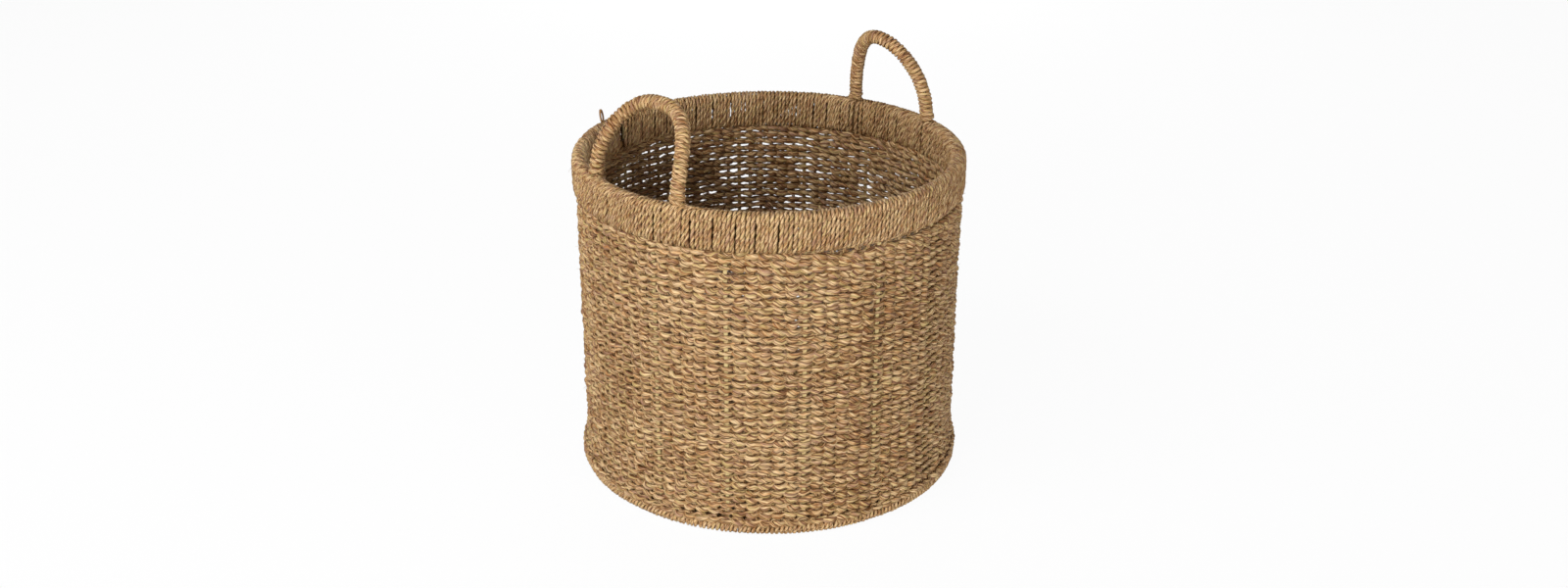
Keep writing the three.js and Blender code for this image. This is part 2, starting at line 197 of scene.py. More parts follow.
class BasketColours(bpy.types.PropertyGroup):
    """Colours of the seagrass and the cane."""

    # Shade is the darkest tone of the leaves, the painted shade in the grooves and creases of a cord, and the
    # colour of the hoops' stains.
    shade: a_colour("Shade", "Darkest seagrass, in the grooves of a cord", 88, 50, 14)
    brown: a_colour("Brown", "Brown seagrass", 148, 103, 52)
    straw: a_colour("Straw", "The commonest colour of the seagrass", 192, 152, 103)
    pale: a_colour("Pale", "Palest seagrass", 216, 187, 142)
    olive: a_colour("Olive", "Greenish leaves among the rest", 187, 166, 104)
    orange: a_colour("Orange", "Reddish leaves among the rest", 196, 132, 70)
    mauve: a_colour("Mauve", "Greyish purple leaves among the rest", 150, 110, 92)
    cane: a_colour("Cane", "The pale stakes", 188, 168, 116)
    hoop: a_colour("Hoop", "The hidden hoops and handle cores", 150, 112, 66)


class BasketStage(bpy.types.PropertyGroup):
    """Light, floor and camera."""

    key_power: a_number("Key light", "Power of the left lamp", 54, "POWER")
    fill_power: a_number("Fill light", "Power of the right lamp", 35, "POWER")
    top_power: a_number("Top light", "Power of the high lamp", 39, "POWER")
    back_power: a_number("Back light", "Power of the lamp behind", 22, "POWER")
    sky: a_number("Sky", "Level of the light from all sides", 0.08)
    floor: a_number("Floor", "How light the floor is", 0.93)
    lens: a_number("Lens", "Focal length of the camera", 37.27, "CAMERA")


def maths(operation, swapped=False):
    """A method that adds the node of one operation."""
    def method(self, *others):
        return self.worked(operation, *others, swapped=swapped)
    return method


class Term:
    """A socket of a node tree, with Python's operators for numbers and vectors."""

    def __init__(self, board, socket):
        self.board = board
        self.socket = socket

    def output(self, name):
        """Another output of the same node."""
        return Term(self.board, picked(self.socket.node.outputs, name))

    def worked(self, operation, *others, swapped=False):
        """The result of a Math node, or of a Vector Math node where a vector takes part."""
        terms = [*others, self] if swapped else [self, *others]
        vectors = any(isinstance(term, Term) and term.socket.type == "VECTOR" for term in terms)
        kind = "ShaderNodeVectorMath" if vectors else "ShaderNodeMath"
        if vectors:
            terms = [(term,) * 3 if isinstance(term, (int, float)) else term for term in terms]
        return self.board.add(kind, *terms, operation=operation)

    __add__ = __radd__ = maths("ADD")
    __sub__ = maths("SUBTRACT")
    __rsub__ = maths("SUBTRACT", swapped=True)
    __mul__ = __rmul__ = maths("MULTIPLY")
    __truediv__ = maths("DIVIDE")
    __rtruediv__ = maths("DIVIDE", swapped=True)
    __pow__ = maths("POWER")
    __mod__ = maths("FLOORED_MODULO")
    __gt__ = maths("GREATER_THAN")
    __lt__ = maths("LESS_THAN")
    __abs__ = maths("ABSOLUTE")
    sine = maths("SINE")
    cosine = maths("COSINE")
    sign = maths("SIGN")
    floor = maths("FLOOR")
    rounded = maths("ROUND")
    larger = maths("MAXIMUM")
    smaller = maths("MINIMUM")
    raised = maths("EXPONENT")

    def shaped(self, power):
        """A number from -1 to 1 drawn towards its ends or towards zero, with its sign kept."""
        return self.sign() * abs(self) ** power

    def parts(self):
        """The three numbers of a vector."""
        split = self.board.add("ShaderNodeSeparateXYZ", self)
        return split.output("X"), split.output("Y"), split.output("Z")


def picked(sockets, key):
    """The socket in use that has a name, or the one at a place."""
    if isinstance(key, int):
        return sockets[key]
    return next(socket for socket in sockets if socket.enabled and socket.name == key)


class Board:
    """A node tree, with one method that adds any node."""

    def __init__(self, tree):
        self.tree = tree

    def add(self, kind, *inputs, out=0, **named):
        """Adds a node. Values without a name are its inputs in order. A name in lower case is a
        setting of the node, or the stops of its colour ramp, and any other name is an input."""
        node = self.tree.nodes.new(kind)
        values = dict(enumerate(inputs))
        for name, value in named.items():
            if name == "stops":
                set_stops(node.color_ramp, value)
            elif name.islower():
                setattr(node, name, value)
            else:
                values[name.replace("_", " ")] = value
        for key, value in values.items():
            socket = picked(node.inputs, key)
            if isinstance(value, Term):
                self.tree.links.new(value.socket, socket)
            else:
                socket.default_value = value
        return Term(self, picked(node.outputs, out)) if node.outputs else None

    def vector(self, x, y, z=0.0):
        return self.add("ShaderNodeCombineXYZ", x, y, z)

    def turned(self, bearing, outward, up, sideways=0.0):
        """A place at a bearing from the axis, and how far it lies outwards, up and sideways."""
        cosine, sine = bearing.cosine(), bearing.sine()
        return self.vector(outward * cosine - sideways * sine, outward * sine + sideways * cosine, up)

    def wander(self, place, scale=1.0, detail=1.0, seed=0.0):
        """Smooth noise from -1 to 1. The seed picks another part of it."""
        if seed:
            place = place + seed
        noise = self.add("ShaderNodeTexNoise", Vector=place, Scale=scale, Detail=detail)
        return (noise - 0.5) * 2

    def chosen(self, switch, off, on, kind="FLOAT"):
        """One of two numbers, or of two places as VECTOR, by a switch of 0 or 1."""
        return self.add("ShaderNodeMix", data_type=kind, Factor=switch, A=off, B=on, out="Result")

    def mixed(self, factor, first, second, blend="MIX"):
        """Two colours mixed."""
        return self.add(
            "ShaderNodeMix", data_type="RGBA", blend_type=blend, Factor=factor, A=first, B=second,
            out="Result",
        )

    def eased(self, value, low, high, to_low=0.0, to_high=1.0):
        """A number carried smoothly from one range to another and held at its ends."""
        return self.add(
            "ShaderNodeMapRange", interpolation_type="SMOOTHSTEP", Value=value,
            From_Min=low, From_Max=high, To_Min=to_low, To_Max=to_high,
        )

    def index(self):
        """The number of each point."""
        return self.add("GeometryNodeInputIndex")

    def reach(self):
        """The length of a curve up to each of its points."""
        return self.add("GeometryNodeSplineParameter", out="Length")

    def circle(self, count, radius=1.0):
        return self.add("GeometryNodeCurvePrimitiveCircle", Resolution=count, Radius=radius)

    def rounded(self, curve, radius, count):
        """A curve with rounded corners."""
        return self.add("GeometryNodeFilletCurve", mode="POLY", Curve=curve, Radius=radius, Count=count)

    def sampled(self, curve, share):
        """The place on a curve at a share of its length."""
        return self.add("GeometryNodeSampleCurve", mode="FACTOR", Curves=curve, Factor=share, out="Position")


def set_stops(ramp, stops):
    """Sets a colour ramp's stops, each a place and a colour."""
    while len(ramp.elements) < len(stops):
        ramp.elements.new(1.0)
    for element, (place, colour) in zip(ramp.elements, stops):
        element.position = place
        element.color = (*colour, 1.0)


def new_rule(name, counts, numbers):
    """A Geometry Nodes tree with inputs of the names given. Gives its board and its inputs."""
    tree = bpy.data.node_groups.new(name, "GeometryNodeTree")
    tree.interface.new_socket("Geometry", in_out="OUTPUT", socket_type="NodeSocketGeometry")
    kinds = {"Int": counts, "Float": numbers, "Material": "material"}
    titles = {}
    for kind, labels in kinds.items():
        for label in labels.split():
            titles[label] = label.replace("_", " ").capitalize()
            tree.interface.new_socket(titles[label], in_out="INPUT", socket_type="NodeSocket" + kind)
    board = Board(tree)
    inputs = board.add("NodeGroupInput")
    return board, SimpleNamespace(**{label: inputs.output(title) for label, title in titles.items()})


def end_rule(board, given, line, section, strand, thickness=1.0, tilt=None):
    """Ends a tree in cords: a section along curves, turned by the tilt, smooth and with its material.

    The finish reads the length along each cord and the cord's own number, which are stored first."""
    line = stored(board, line, "along", board.reach())
    line = stored(board, line, "strand", strand)
    if tilt is not None:
        line = board.add("GeometryNodeSetCurveTilt", Curve=line, Tilt=tilt)
    cords = board.add(
        "GeometryNodeCurveToMesh", Curve=line, Profile_Curve=section, Scale=thickness, Fill_Caps=True
    )
    real = board.add("GeometryNodeRealizeInstances", Geometry=cords)
    smooth = board.add("GeometryNodeSetShadeSmooth", Geometry=real)
    dressed = board.add("GeometryNodeSetMaterial", Geometry=smooth, Material=given.material)
    board.add("NodeGroupOutput", Geometry=dressed)
    return board.tree


def line_of(board, count):
    """An open curve of a number of points, whose places a rule then sets."""
    line = board.add("GeometryNodeCurvePrimitiveLine", End=(1.0, 0.0, 0.0))
    return board.add("GeometryNodeResampleCurve", Curve=line, Count=count)


def many_of(board, curve, count):
    """Copies of a curve as real curves. Gives them and, for each point, its curve and its place in it."""
    points = board.add("GeometryNodePoints", Count=count)
    copies = board.add("GeometryNodeInstanceOnPoints", Points=points, Instance=curve)
    real = board.add("GeometryNodeRealizeInstances", Geometry=copies)
    which = board.add("GeometryNodeCurveOfPoint")
    return real, which, which.output("Index in Curve")


def placed(board, geometry, position):
    return board.add("GeometryNodeSetPosition", Geometry=geometry, Position=position)


def faced_up(board, curve):
    """A curve whose own up is the world's, so that its tilt starts the same all round."""
    return board.add("GeometryNodeSetCurveNormal", mode="Z_UP", Curve=curve)


def stored(board, geometry, name, value, kind="FLOAT"):
    return board.add(
        "GeometryNodeStoreNamedAttribute", data_type=kind, domain="POINT",
        Geometry=geometry, Name=name, Value=value,
    )


def two_ply_section(board, given, waist=0.78):
    """The section of a cord of two plies, which keeps its own directions for the finish.

    The waist is its least radius, between the plies, as a share of the greatest."""
    widest, fullness = 1.02, 0.75
    ring = board.circle(given.sides)
    angle = board.index() / given.sides * FULL_TURN + FULL_TURN / 4
    x, y = angle.cosine(), angle.sine()
    reach = given.cord_radius * (waist + (widest - waist) * abs(x) ** fullness)
    shaped = placed(board, ring, board.vector(reach * x, reach * y))
    return stored(board, shaped, "section", board.vector(x, y), "FLOAT_VECTOR")


def round_section(board, radius, sides):
    """A plain round section that keeps its own directions."""
    angle = board.index() / sides * FULL_TURN
    ring = board.circle(sides, radius)
    return stored(board, ring, "section", board.vector(angle.cosine(), angle.sine()), "FLOAT_VECTOR")


def setting(groups, prefix, label):
    """A setting, from the first group that has it by its own name or with the prefix before it."""
    names = [f"{prefix}_{label}", label]
    return next(getattr(group, name) for group in groups for name in names if hasattr(group, name))


def grown(name, tree, slot, groups, replaces=(), prefix="", **values):
    """Grows a piece by a tree and keeps it as a plain mesh that rides on the basket.

    An input without a value here takes the setting of its name from the groups."""
    piece = bpy.data.objects.new(name, bpy.data.meshes.new(name + "_start"))
    bpy.context.scene.collection.objects.link(piece)
    rule = piece.modifiers.new("Rule", "NODES")
    rule.node_group = tree
    for item in tree.interface.items_tree:
        if item.in_out == "INPUT":
            label = item.name.lower().replace(" ", "_")
            value = values[label] if label in values else setting(groups, prefix, label)
            rule[item.identifier] = float(value) if item.socket_type == "NodeSocketFloat" else value
    bpy.context.view_layer.update()
    evaluated = piece.evaluated_get(bpy.context.evaluated_depsgraph_get())
    mesh = bpy.data.meshes.new_from_object(evaluated)
    piece.modifiers.remove(rule)
    piece.data = mesh
    mesh.name = name
    if not mesh.polygons:
        raise RuntimeError(f"{name} came out empty")
    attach(piece, "root")
    if replaces:
        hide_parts(*replaces)


def twined_rows_rule():
    """Rings of two cords that cross between warps, one passing outside a warp and one inside."""
    board, given = new_rule(
        "Twined rows", "rows first_row warps stakes steps sides",
        "first_warp radius radius_step height height_step flatness swing spread crossing fullness pinch"
        " droop unevenness looseness loosest tightening last_row gap gap_bearing flare cord_radius lay"
        " waviness",
    )
    row_start, ply_start = 0.382, 0.13
    warp_stray, gap_stray, ply_stray, leaf_stray = 0.9, 0.4, 4.0, 0.9
    own_waviness, back_waviness = 1.5, 2.2
    swing_power, fullness_power, gap_power, tightening_power, pinch_power = 0.6, 1.5, 30, 3, 20
    gap_start, gap_end, least_gap = 0.55, 0.95, 0.25
    back_pinch_loss, waist = 0.3, 0.64
    # How far apart two rows lie in each noise, and the two strands of a row.
    warp_stride, near_stride, own_stride, strand_stride = 2.9, 0.045, 5.7, 0.3

    rings, which, step = many_of(board, board.circle(given.steps), given.rows * 2)
    row = (which / 2).floor() + given.first_row
    strand = which % 2
    share = step / given.steps
    angle = (share + row * row_start) * FULL_TURN
    cosine, sine = angle.cosine(), angle.sine()
    towards_back = (sine + 1) / 2
    flat, upright = given.flatness, 1 - given.flatness
    # Places in the noise: near_rows changes little from row to row, own is each cord's alone.
    warp_place = board.vector(cosine * 3, sine * 3, row * warp_stride)
    near_rows = board.vector(cosine, sine, row * near_stride)
    own = board.vector(cosine, sine, row * own_stride + strand * strand_stride)

    phase = (
        (angle - given.first_warp) * given.warps / 2 + strand * math.pi
        + board.wander(warp_place, 2.0) * warp_stray
    )
    across, along_row = phase.cosine().shaped(swing_power), phase.sine().shaped(given.crossing)
    drift = (
        board.wander(near_rows, 1.7) * given.waviness
        + board.wander(own, 6.0, 2.0) * given.waviness * own_waviness
        + board.wander(near_rows, 7.0, seed=2.0) * given.waviness * towards_back * back_waviness
    )
    bulge = board.wander(near_rows, 1.4, seed=9.0) * given.waviness * upright
    swing = given.swing * across
    spread = given.spread * along_row + drift - given.droop * across
    ring_radius = given.radius + row * given.radius_step + given.flare * (-1 * row).raised()
    radius = ring_radius + swing * upright + spread * flat + bulge
    near_gap = (angle - given.gap_bearing).cosine() + board.wander(near_rows, 8.0, seed=14.0) * gap_stray
    height_share = row / given.last_row
    gap = given.gap * board.eased(near_gap, gap_start, gap_end, least_gap) * height_share ** gap_power
    height = given.height + row * given.height_step - gap + spread * upright + swing * flat
    rings = faced_up(board, placed(board, rings, board.vector(radius * cosine, radius * sine, height)))

    plies = (ring_radius * FULL_TURN / given.lay).rounded()
    tilt = (share * plies + row * ply_start) * FULL_TURN + board.wander(own, 11.0, 2.0) * ply_stray
    from_stake = (angle - given.first_warp - FULL_TURN / given.warps) * given.stakes / 2
    pinch = given.pinch * (1 - towards_back * back_pinch_loss)
    thickness = (
        1 + board.wander(own, 17.0, 3.0, 3.0) * leaf_stray
        + given.fullness * abs(phase.cosine()) ** fullness_power
        + board.wander(near_rows, 2.8, 2.0, 5.0) * given.unevenness * towards_back
        - given.looseness * (angle - given.loosest).cosine()
        + given.tightening * height_share ** tightening_power
        - pinch * abs(from_stake.cosine()) ** pinch_power
    )
    section = two_ply_section(board, given, waist)
    return end_rule(board, given, rings, section, row * 2 + strand, thickness, tilt)


def upright_warps_rule():
    """Pairs of fine warps that run out along the base, bend and stand up inside the wall."""
    board, given = new_rule(
        "Fine warps", "warps stakes steps",
        "first_warp start_radius late_start_radius wall_radius base_height top bend_radius cord_radius",
    )
    pair_spacing, stray, strand_step = 1.02, 0.4, 1.7
    warp_stride, step_stride = 3.1, 0.21
    start = board.vector(given.start_radius, 0.0, given.base_height)
    corner = board.vector(given.wall_radius, 0.0, given.base_height)
    end = board.vector(given.wall_radius, 0.0, given.top)
    index = board.index()
    bent = board.chosen(index > 1.5, board.chosen(index > 0.5, start, corner, "VECTOR"), end, "VECTOR")
    path = board.rounded(placed(board, line_of(board, 3), bent), given.bend_radius, 4)
    path = board.add("GeometryNodeResampleCurve", Curve=path, Count=given.steps)
    paths, which, step = many_of(board, path, given.warps * 2)
    warp = (which / 2).floor()
    side = (which % 2) * 2 - 1
    angle = given.first_warp + warp / given.warps * FULL_TURN
    x, y, z = board.add("GeometryNodeInputPosition").parts()
    own = board.vector(which * warp_stride, step * step_stride)
    sideways = side * given.cord_radius * pair_spacing + board.wander(own, 1.3) * given.cord_radius * stray
    paths = placed(board, paths, board.turned(angle, x, z, sideways))
    on_stake = (warp - 1) % (given.warps / given.stakes) < 0.5
    too_early = (warp % 2 < 0.5) * ((x * x + y * y) ** 0.5 < given.late_start_radius)
    paths = board.add(
        "GeometryNodeDeleteGeometry", domain="POINT", Geometry=paths, Selection=on_stake + too_early
    )
    section = round_section(board, given.cord_radius, sides=6)
    return end_rule(board, given, paths, section, which * strand_step)


def winding_rule():
    """Turns of one cord wound round the section of a ring, all the way or part of the way round."""
    board, given = new_rule(
        "Winding", "turns turn_steps sides",
        "first_turn whole_turns inner_radius outer_radius bottom top bottom_round top_round cord_radius lay"
        " crowding bundle slit swelling leg_radius left_half_width right_half_width left_bearing"
        " right_bearing parting binding_reach loose_bearing loose_parting",
    )
    # A turn counts as whole from this share on, where the cord passes under the ring.
    hidden_share = 0.55
    loosest_bundle, tightest_bundle = -0.25, 0.4
    slit_top, slit_full = 0.42, 0.22
    outer_side, inner_side = 0.1, -0.35
    parting_fade, swelling_fade, swelling_bottom = 0.11, 1, -0.25
    lift_stray, height_stray, ply_stray, leaf_stray = 0.05, 0.012, 2.4, 0.2
    own_crowding, inside_thinning, waist = 0.5, 0.1, 0.46

    def faded(off, steepness):
        """1 at a leg and less on both sides of it."""
        return (off * off * -steepness).raised()

    width = given.outer_radius - given.inner_radius - given.cord_radius * 2
    height = given.top - given.bottom - given.cord_radius * 2
    outline = board.add("GeometryNodeCurvePrimitiveQuadrilateral", Width=width, Height=height)
    corner_height = board.add("GeometryNodeInputPosition").parts()[1]
    rounding = board.chosen(corner_height > 0.0, given.bottom_round, given.top_round)
    outline = board.rounded(outline, rounding, 8)
    line = line_of(board, given.turns * given.turn_steps + 1)
    turn = board.index() / given.turn_steps + given.first_turn
    place = board.vector(turn, 0.0)
    x, y, _ = board.sampled(outline, turn % 1.0).parts()

    whole = (turn - hidden_share).floor()
    bundle = whole / given.bundle
    tightness = board.wander(board.vector(bundle.floor(), 7.0), 1.7)
    tightness = board.eased(tightness, loosest_bundle, tightest_bundle)
    below_edge = board.eased(y / height, slit_top, slit_full)
    crowding = (
        (bundle.floor() + 0.5 - bundle) * tightness * below_edge * given.slit
        + board.wander(place, 0.23, 2.0) * given.crowding
        + board.wander(board.vector(whole, 3.0), 0.9) * given.crowding * own_crowding
    )
    whole_angle = (whole + hidden_share + 0.5) / given.whole_turns * FULL_TURN
    left = whole_angle.cosine() < 0.0
    leg = board.chosen(left, given.right_half_width, given.left_half_width)
    from_handle = (whole_angle - board.chosen(left, given.right_bearing, given.left_bearing)).sine()
    off_leg = (abs(from_handle) * given.leg_radius - leg) / given.binding_reach
    outwards = off_leg.sign() * from_handle.sign()
    inside = board.eased(x / width, outer_side, inner_side)
    off_loose = (whole_angle - given.loose_bearing) * given.leg_radius / given.binding_reach
    stray = (
        crowding + given.parting * outwards * inside * faded(off_leg, parting_fade)
        + given.loose_parting * off_loose.sign() * inside * faded(off_loose, parting_fade)
    )

    middle = (given.outer_radius + given.inner_radius) / 2
    angle = turn / given.whole_turns * FULL_TURN + stray / middle
    lift = 1 + board.wander(place, 0.8, seed=30.0) * lift_stray
    swell = given.swelling * faded(off_leg, swelling_fade) * (x < 0.0) * (y > height * swelling_bottom)
    radius = middle + x * lift - swell
    up = (given.top + given.bottom) / 2 + y * (1 + board.wander(place, 0.6, seed=11.0) * height_stray)
    line = placed(board, line, board.turned(angle, radius, up))
    tilt = board.reach() / given.lay * FULL_TURN + board.wander(place, 2.3, 2.0, 21.0) * ply_stray
    thickness = 1 + board.wander(place, 1.6, 2.0, 5.0) * leaf_stray - inside * inside_thinning
    section = two_ply_section(board, given, waist)
    return end_rule(board, given, line, section, turn.floor(), thickness, tilt)


def arch_line(board, given):
    """The middle line of one handle, a leaning superellipse from one leg to the other."""
    points = 240
    line = line_of(board, points)
    angle = board.index() * (math.pi / (points - 1))
    power = 2 / given.squareness
    across = angle.cosine().shaped(power)
    up = angle.sine().larger(0.0) ** power
    legs = (given.leg_radius ** 2 - given.half_width ** 2) ** 0.5
    forward = legs - given.lean * up ** given.lean_power
    sideways = given.half_width * across * -1
    height = given.rim_top + given.rise * up
    return placed(board, line, board.turned(given.bearing, forward, height, sideways))


def handle_winding_rule():
    """One cord wound round an arch from leg to leg, swollen where it meets the rim."""
    board, given = new_rule(
        "Handle winding", "turns turn_steps sides",
        "bearing half_width rise lean lean_power squareness leg_radius rim_top winding_radius cord_radius"
        " lay",
    )
    turn_stray, flare_stray, ply_stray, leaf_stray = 0.0028, 0.05, 2.4, 0.2
    leg_flare, flare_fade, waist, strand_step = 0.05, 1.1, 0.66, 9
    arch = arch_line(board, given)
    line = line_of(board, given.turns * given.turn_steps + 1)
    turn = board.index() / given.turn_steps
    place = board.vector(turn, given.bearing)
    share = turn / given.turns + board.wander(place, 0.31) * turn_stray
    spot = board.sampled(arch, share)
    normal = spot.output("Normal")
    side = spot.output("Tangent").worked("CROSS_PRODUCT", normal)
    angle = turn * FULL_TURN
    outward = normal * angle.cosine() + side * angle.sine()
    from_leg = turn.smaller(given.turns - turn)
    leg_flare = leg_flare * (from_leg * from_leg * -flare_fade).raised()
    flare = 1 + leg_flare + board.wander(place, 0.6, seed=4.0) * flare_stray
    line = placed(board, line, spot + outward * (given.winding_radius * flare))
    tilt = board.reach() / given.lay * FULL_TURN + board.wander(place, 3.0, 2.0, 2.0) * ply_stray
    thickness = 1 + board.wander(place, 2.2, 2.0, 8.0) * leaf_stray
    section = two_ply_section(board, given, waist)
    strand = turn.floor() + given.bearing * strand_step
    return end_rule(board, given, line, section, strand, thickness, tilt)


def lashing_rule():
    """Thin slanted loops tied tightly round the foot of each handle leg."""
    board, given = new_rule(
        "Lashings", "steps sides loops",
        "left_half_width right_half_width left_bearing right_bearing leg_radius rim_top loop_radius slant"
        " cord_radius lay",
    )
    loop_pitch, first_strand, strand_step = 1.4, 400.0, 3.3
    rings, which, step = many_of(board, board.circle(given.steps), given.loops * 4)
    leg = (which / given.loops).floor()
    loop = which % given.loops
    left = leg > 1.5
    half_width = board.chosen(left, given.right_half_width, given.left_half_width)
    leg_angle = (half_width / given.leg_radius).worked("ARCSINE")
    bearing = board.chosen(left, given.right_bearing, given.left_bearing) + ((leg % 2) * 2 - 1) * leg_angle
    share = step / given.steps
    around = share * FULL_TURN
    slant = (loop % 2 * 2 - 1) * given.slant
    outward = given.leg_radius + given.loop_radius * around.cosine()
    sideways = given.loop_radius * around.sine()
    up = given.rim_top + slant * (around + which).sine() + given.cord_radius * loop * loop_pitch
    rings = placed(board, rings, board.turned(bearing, outward, up, sideways))
    plies = (given.loop_radius * FULL_TURN / given.lay).rounded()
    section = two_ply_section(board, given)
    strand = which * strand_step + first_strand
    return end_rule(board, given, rings, section, strand, 1.0, share * plies * FULL_TURN)


def loop_rule():
    """A short loop of twine that sticks up out of the rim."""
    board, given = new_rule(
        "Twine loop", "steps sides", "radius bearing bottom height width cord_radius lay"
    )
    sideways_lean, outward_lean, strand = 0.1, 0.3, 500.0
    line = line_of(board, given.steps + 1)
    around = board.index() / given.steps * FULL_TURN
    rise = 1 - around.cosine()
    up = given.height * rise / 2
    sideways = given.width * around.sine() / 2 - up * sideways_lean
    outward = given.radius + rise * given.width * outward_lean
    line = placed(board, line, board.turned(given.bearing, outward, given.bottom + up, sideways))
    section = two_ply_section(board, given)
    return end_rule(board, given, line, section, strand, 1.0, board.reach() / given.lay * FULL_TURN)


def hub_rule():
    """Two flat coils of cord, one over and one under the spokes, from the middle outwards."""
    board, given = new_rule("Hub", "turn_steps sides", "turns radius height layer_gap cord_radius lay")
    first_radius_share, layer_turn, first_strand = 0.7, 2.1, 300.0
    count = (given.turns * given.turn_steps).rounded() + 1
    lines, which, step = many_of(board, line_of(board, count), 2)
    turn = step / given.turn_steps
    angle = turn * FULL_TURN + which * layer_turn
    radius = given.cord_radius * first_radius_share + given.radius * turn / given.turns
    height = given.height + (which - 0.5) * given.layer_gap
    lines = placed(board, lines, board.turned(angle, radius, height))
    lines = faced_up(board, lines)
    tilt = board.reach() / given.lay * FULL_TURN
    return end_rule(board, given, lines, two_ply_section(board, given), which + first_strand, 1.0, tilt)


def fibres_rule():
    """Short stray fibres that stand out of the wall and the rim."""
    board, given = new_rule(
        "Stray fibres", "fibres steps seed", "low high radius rim_bottom rim_radius length thickness"
    )
    sag, taper, strand_step = 0.3, 0.6, 1.37
    # The least length as a share of the greatest, then how far a fibre goes as shares of its length.
    shortest, least_out, most_out, sideways_curl = 0.3, 0.15, 0.75, 0.4
    most_down, most_up = 0.5, 0.7
    lines, which, step = many_of(board, line_of(board, given.steps + 1), given.fibres)

    def chance(low, high, number):
        return board.add(
            "FunctionNodeRandomValue", data_type="FLOAT", Min=low, Max=high, ID=which,
            Seed=given.seed + number, out="Value",
        )

    angle = chance(0.0, FULL_TURN, 0)
    height = chance(given.low, given.high, 1)
    root = board.chosen(height > given.rim_bottom, given.radius, given.rim_radius)
    share = step / given.steps
    reach = given.length * chance(shortest, 1.0, 2) * share
    outward = root + reach * chance(least_out, most_out, 3)
    curl = reach * share * chance(-sideways_curl, sideways_curl, 5)
    sideways = reach * chance(-1.0, 1.0, 4) + curl
    up = height + reach * chance(-most_down, most_up, 6) - reach * share * sag
    lines = placed(board, lines, board.turned(angle, outward, up, sideways))
    section = round_section(board, given.thickness, sides=3)
    return end_rule(board, given, lines, section, which * strand_step, 1 - share * taper)


def new_material(name):
    """An empty material and its board."""
    material = bpy.data.materials.new(name)
    material.use_nodes = True
    material.node_tree.nodes.clear()
    return material, Board(material.node_tree)


# Light sets the brightness of a copy of this finish. The wall, base, rim, foot and handles are one seagrass,
# and their different levels, set to how light each part looks, are painted light and shade.
def seagrass(name, light=1.0, warmth=0.0, groove_shade_depth=0.85, crease_shade_depth=0.55):
    """Twisted seagrass: leaves that run with each ply, with painted shade in the grooves of the cord and
    along the creases between its leaves.
    """
    colours = bpy.context.scene.basket_colours
    material, board = new_material(f"seagrass_{name}")
    along, strand = (board.add("ShaderNodeAttribute", attribute_name=label, out="Fac")
                     for label in ("along", "strand"))
    x, y, _ = board.add("ShaderNodeAttribute", attribute_name="section", out="Vector").parts()
    here = board.add("ShaderNodeTexCoord", out="Object")
    # Painted shade along the creases between the leaves round a cord: how many creases, how far they wander
    # and how wide they are.
    creases, crease_stray, crease_width = 3.5, 5, 0.5
    crack_start, crack_full, deepest_crack = 0.44, 0.35, 0.85
    # Width of the band of painted shade in the groove round the waist of the section, and the height of the
    # relief.
    groove_width, relief_height = 0.42, 0.0006
    # How often each kind of mark changes in a metre of cord, and round it.
    leaves, hues, streaks, hairs = 80, 60, 95, 210
    hues_round, streaks_round, hairs_round = 1.3, 2.8, 7.5
    # How much each noise counts in the tone, from which the colour follows.
    leaf_tone, streak_tone, patch_tone, hair_tone, darkening = 0.45, 1.05, 0.2, 0.3, 0.25

    def noise(place, scale=1.0, detail=2.0, roughness=0.5):
        return board.add("ShaderNodeTexNoise", Vector=place, Scale=scale, Detail=detail, Roughness=roughness)

    # Each strand has its own part of each noise, by its number times an uneven factor.
    leaf = noise(board.vector(along * leaves, (x > 0.0) * 6.1 + strand * 2.37, strand * 0.71), detail=1.5)
    hue_place = board.vector(along * hues + x * hues_round, y * hues_round + strand * 3.91, 5.0)
    hue = noise(hue_place, detail=1.0)
    other_hue = noise(hue_place + 17.0, 1.3, 1.0)
    streak_place = board.vector(x * streaks_round, y * streaks_round, along * streaks)
    streak = noise(streak_place + strand * 1.9, roughness=0.6)
    fine = noise(board.vector(x * hairs_round, y * hairs_round, along * hairs) + strand * 4.3)
    patch = noise(here, 11.0)

    tone = (
        leaf * leaf_tone + streak * streak_tone - darkening
        + (patch - 0.5) * patch_tone + (fine - 0.5) * hair_tone
    )
    tones = ((0.33, colours.shade), (0.42, colours.brown), (0.50, colours.straw), (0.62, colours.pale))
    colour = board.add("ShaderNodeValToRGB", stops=tones, Fac=tone)
    # Each odd colour, the noise that places it, where it starts and is full, and its largest share.
    odd_leaves = (
        (colours.olive, hue, 0.53, 0.64, 0.68),
        (colours.orange, hue, 0.40, 0.30, 0.42),
        (colours.mauve, other_hue, 0.55, 0.66, 0.7),
    )
    for odd_colour, source, start, full, most in odd_leaves:
        colour = board.mixed(board.eased(source, start, full, to_high=most), colour, (*odd_colour, 1))
    # Painted shade in the groove between the two plies, as strong as the groove shade depth.
    painted_groove_shade = board.eased(abs(x), groove_width, 0.0, to_high=groove_shade_depth)
    crack = board.eased(streak, crack_start, crack_full, to_high=deepest_crack)
    # Painted shade along the creases between the leaves, as strong as the crease shade depth.
    leaf_edge = (y.worked("ARCTAN2", x) * creases + (leaf - 0.5) * crease_stray).sine()
    painted_crease_shade = board.eased(abs(leaf_edge), crease_width, 0.0, to_high=crease_shade_depth)
    # The painted shade of the grooves and creases and the leaves' own dark cracks darken the colour towards
    # shade.
    colour = board.mixed(painted_groove_shade.larger(crack).larger(painted_crease_shade), colour, (*colours.shade, 1))
    # The copy's brightness level, which is painted light and shade for the wall, base, rim, foot and handles,
    # varied by the fine hairs.
    level = light * (0.8 + fine * 0.4)
    tint = board.vector(level * (1 + warmth), level, level * (1 - warmth))
    colour = board.mixed(1.0, colour, tint, "MULTIPLY")
    relief = streak * 0.6 + fine * 0.4
    bump = board.add("ShaderNodeBump", Height=relief, Strength=0.55, Distance=relief_height)
    return finished(material, board, colour, bump, roughness=0.56 + streak * 0.28, ior=1.45)


